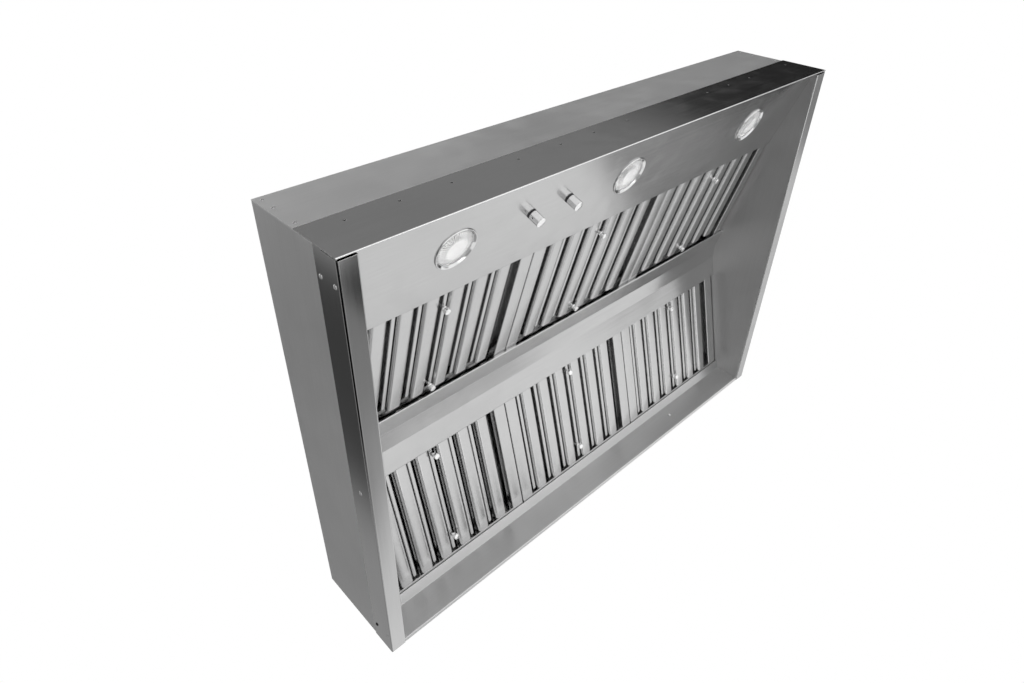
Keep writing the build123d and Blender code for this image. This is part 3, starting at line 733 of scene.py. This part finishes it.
screw_low, screw_high = 10.6, 44.0
screw_front, screw_rear = -half_depth + screw_front_inset, half_depth - screw_rear_inset
bright_spots = [(screw_front, screw_low), (screw_front, screw_high), (screw_rear, screw_low), (6.0, 28.0)]
screws = placed(pan_screw(), *on_both_sides(bright_spots))
add_piece("side_screws_shown", screws, finishes["screw_steel"], "casing", ("side_screws",))
# The upper rear screw on each side is near black.
dark_screw_finish = polished("dark_screw_steel", 0.05, 0.3)
dark_screws = placed(pan_screw(), *on_both_sides([(screw_rear, screw_high)]))
add_piece("side_screws_dark", dark_screws, dark_screw_finish, "casing")

rivet_x, rivet_heights = 598.0, (203.0, 172.0, 115.0)
rivet_spots = [(side * rivet_x, front_face, height) for side in (-1, 1) for height in rivet_heights]
rivets = placed(rivet(), *[placement(spot, (1, 0, 0), (0, -1, 0)) for spot in rivet_spots])
add_piece("corner_rivets", rivets, finishes["screw_steel"], "casing")

rear_rivet = placed(rivet(3.6), placement((312.0, rear_liner_y, 37.0), (1, 0, 0), (0, -1, 0)))
add_piece("rear_liner_rivet", rear_rivet, finishes["bezel_chrome"], "casing")


# ---- studio ----
def stage_mesh(name, points, quads, material):
    """A mesh, in metres, of the studio and not of the hood."""
    mesh = bpy.data.meshes.new(name)
    mesh.from_pydata(points.tolist(), [], quads.tolist())
    mesh.materials.append(material)
    thing = in_scene(name, mesh)
    return thing


floor_height = -1.9
half_floor = 30.0
white_starts, white_ends = 3.0, 5.5
dome_radius = 15.0

# Pale paper, which fades into the white of the world around it.
floor_finish = Finish("studio_floor")
paper = floor_finish.noise((2.0, 2.0, 2.0))
paper_shade = floor_finish.spread(paper, 0.88, 0.9)
floor_finish.link(floor_finish.grey(paper_shade), floor_finish.shader.inputs["Base Color"])
floor_finish.set(Roughness=0.9)
span = floor_finish.add("ShaderNodeVectorMath", operation="LENGTH")
floor_finish.link(floor_finish.coordinates, span.inputs[0])
far = floor_finish.spread(span.outputs["Value"], 0.0, 1.0, white_starts, white_ends)
glow = floor_finish.add("ShaderNodeEmission")
glow.inputs["Color"].default_value = (1.0, 1.0, 1.0, 1.0)
fade = floor_finish.add("ShaderNodeMixShader")
floor_finish.link(far, fade.inputs["Fac"])
floor_finish.link(floor_finish.shader.outputs["BSDF"], fade.inputs[1])
floor_finish.link(glow.outputs["Emission"], fade.inputs[2])
floor_finish.link(fade.outputs["Shader"], floor_finish.tree.nodes["Material Output"].inputs["Surface"])
floor_corners = np.array([(-1, -1), (1, -1), (1, 1), (-1, 1)]) * half_floor
floor_points = np.column_stack([floor_corners, np.full(4, floor_height)])
floor = stage_mesh("floor", floor_points, np.array([[0, 1, 2, 3]]), floor_finish.material)
floor.visible_glossy = False

# The studio's walls as reflections see them, in degrees but for the tone:
# (azimuth, elevation, half width, half height, tilt, edge, tone).
# Azimuth 0 is in front of the hood and 90 to its right. The patches were set by comparing tones with the
# photo from its own view, so other views get a plausible room and not a measured one.
WALL_TONE = 0.34
WALL_PATCHES = [
    (0, 90, 180, 26, 0, 8, 1.35),
    (0, -38, 74, 33, 0, 5, 1.05),
    (66, -63, 10, 12, 0, 5, 1.9),
    (155, -75, 38, 8, 0, 4, 1.5),
    (45, 42, 40, 22, 0, 10, 0.27),
    (92, 20, 25.5, 34, 0, 4, 0.02),
    (-146, 47, 9.5, 17, 0, 5, 0.06),
    (-131, -14, 11, 6, 0, 4, 0.8),
    (-110, -29, 17, 11, 0, 4, 0.6),
    (-113, 0, 11, 14, 0, 9, 0.03),
    (151, -12, 20, 24, 30, 3, 0.9),
    (124, -40, 14.5, 24, 0, 5, 0.95),
    (124, -60, 32, 14, 0, 5, 1.0),
    (149, -46, 13, 6.5, -18, 3, 0.3),
    (139, -47.1, 6, 5.6, 0, 1.5, 0.02),
    (190, -38, 20, 11, 0, 4, 0.85),
    (-114, -50, 8, 8, 0, 5, 1.6),
    (94, -40, 12, 11, 0, 4, 0.9),
    (115, 0.5, 16.3, 15.5, 0, 2.5, 0.29),
    (108, -7, 12, 9, 0, 11, 0.06),
]


def smooth_step(value):
    """0 below 0, 1 above 1, and 3 v^2 - 2 v^3 between."""
    value = np.clip(value, 0, 1)
    return value * value * (3 - 2 * value)


def wall_tones(azimuth, elevation):
    """Tone of each direction: each patch is laid over the last, and fades out over its edge width."""
    tone = np.full(azimuth.shape, WALL_TONE)
    for centre, height, half_w, half_h, tilt, edge, patch in WALL_PATCHES:
        aside = (azimuth - centre + 180) % 360 - 180
        above = elevation - height
        turn = math.radians(tilt)
        across = np.abs(aside * math.cos(turn) + above * math.sin(turn))
        upward = np.abs(above * math.cos(turn) - aside * math.sin(turn))
        mask = smooth_step((half_w - across) / edge + 0.5) * smooth_step((half_h - upward) / edge + 0.5)
        tone = tone * (1 - mask) + patch * mask
    return tone


def studio_walls():
    """A dome that only reflections see, with its tone kept as a colour on each point:
    point = R (sin a cos e, -cos a cos e, sin e), where a is the azimuth and e the elevation."""
    azimuth, elevation = np.meshgrid(np.arange(0, 360, 1.0), np.linspace(-89.5, 89.5, 180), indexing="ij")
    a, e = np.radians(azimuth), np.radians(elevation)
    directions = np.stack([np.sin(a) * np.cos(e), -np.cos(a) * np.cos(e), np.sin(e)], axis=2)
    points = directions.reshape(-1, 3) * dome_radius
    finish = Finish("studio_walls")
    tone = finish.add("ShaderNodeAttribute", attribute_name="tone")
    glow = finish.add("ShaderNodeEmission")
    finish.link(tone.outputs["Color"], glow.inputs["Color"])
    finish.link(glow.outputs["Emission"], finish.tree.nodes["Material Output"].inputs["Surface"])
    walls = stage_mesh("studio_walls", points, grid_quads(*azimuth.shape, wrap_rows=True), finish.material)
    colours = np.ones((len(points), 4), np.float32)
    colours[:, :3] = wall_tones(azimuth, elevation).reshape(-1, 1)
    kept_tones = walls.data.color_attributes.new("tone", "FLOAT_COLOR", "POINT")
    kept_tones.data.foreach_set("color", colours.ravel())
    walls.visible_camera = False
    walls.visible_diffuse = False
    walls.visible_shadow = False
    walls.visible_transmission = False


studio_walls()

world = bpy.data.worlds.new("studio")
bpy.context.scene.world = world
world.use_nodes = True
sky = world.node_tree
sky.nodes.clear()
output = sky.nodes.new("ShaderNodeOutputWorld")
mix = sky.nodes.new("ShaderNodeMixShader")
rays = sky.nodes.new("ShaderNodeLightPath")
# The tone that lights the object, and then the tone that is seen, which the dome covers in reflections.
for number, tone in ((1, 0.9), (2, 1.0)):
    background = sky.nodes.new("ShaderNodeBackground")
    background.inputs["Color"].default_value = (tone, tone, tone, 1.0)
    sky.links.new(background.outputs["Background"], mix.inputs[number])
seen = rays.outputs["Is Camera Ray"]
for kind in ("Is Glossy Ray", "Is Transmission Ray"):
    either = sky.nodes.new("ShaderNodeMath")
    either.operation = "MAXIMUM"
    sky.links.new(seen, either.inputs[0])
    sky.links.new(rays.outputs[kind], either.inputs[1])
    seen = either.outputs[0]
sky.links.new(seen, mix.inputs["Fac"])
sky.links.new(mix.outputs["Shader"], output.inputs["Surface"])


def look_along(place, way):
    """Matrix of something at place that looks along way, which a lamp does along its -Z."""
    back = -way / np.linalg.norm(way)
    side = np.cross((0.0, 0.0, 1.0), back)
    side /= np.linalg.norm(side)
    matrix = np.eye(4)
    matrix[:3, 0], matrix[:3, 1], matrix[:3, 2] = side, np.cross(back, side), back
    matrix[:3, 3] = place
    return Matrix(matrix.tolist())


def soft_lamp(name, place, target, size, watts):
    """A square softbox that faces a point. Reflections show the studio's walls and not the lamp."""
    data = bpy.data.lights.new(name, "AREA")
    data.size = size
    data.energy = watts
    lamp = in_scene(name, data)
    lamp.matrix_world = look_along(place, np.array(target) - np.array(place))
    lamp.visible_glossy = False


hood_middle = (0, 0, 0.1)
soft_lamp("key_light", (-1.6, -2.6, -0.4), hood_middle, 1.6, 45)
soft_lamp("fill_light", (2.2, -1.8, -1.4), hood_middle, 1.4, 25)
soft_lamp("top_light", (0.5, 1.2, 3.0), hood_middle, 1.8, 40)

# ---- camera, solved from the straight edges in the photo ----
camera_data = bpy.data.cameras.new("photo_camera")
camera_data.lens = 24.5103
camera_data.sensor_width = 36.0
camera_data.shift_x = 0.005414
camera_data.shift_y = -0.016446
camera_data.clip_start = 0.01
camera_data.clip_end = 100.0
camera = in_scene("photo_camera", camera_data)
camera_axes = np.eye(4)
camera_axes[:3, 0] = (0.729863, -0.016453, -0.683396)
camera_axes[:3, 1] = (0.387141, -0.813990, 0.433062)
camera_axes[:3, 2] = (-0.563402, -0.580646, -0.587731)
camera_axes[:3, 3] = (-0.953645, -0.841839, -0.651152)
camera.matrix_world = Matrix(camera_axes.tolist())
bpy.context.scene.camera = camera
bpy.context.scene.view_settings.view_transform = "Standard"
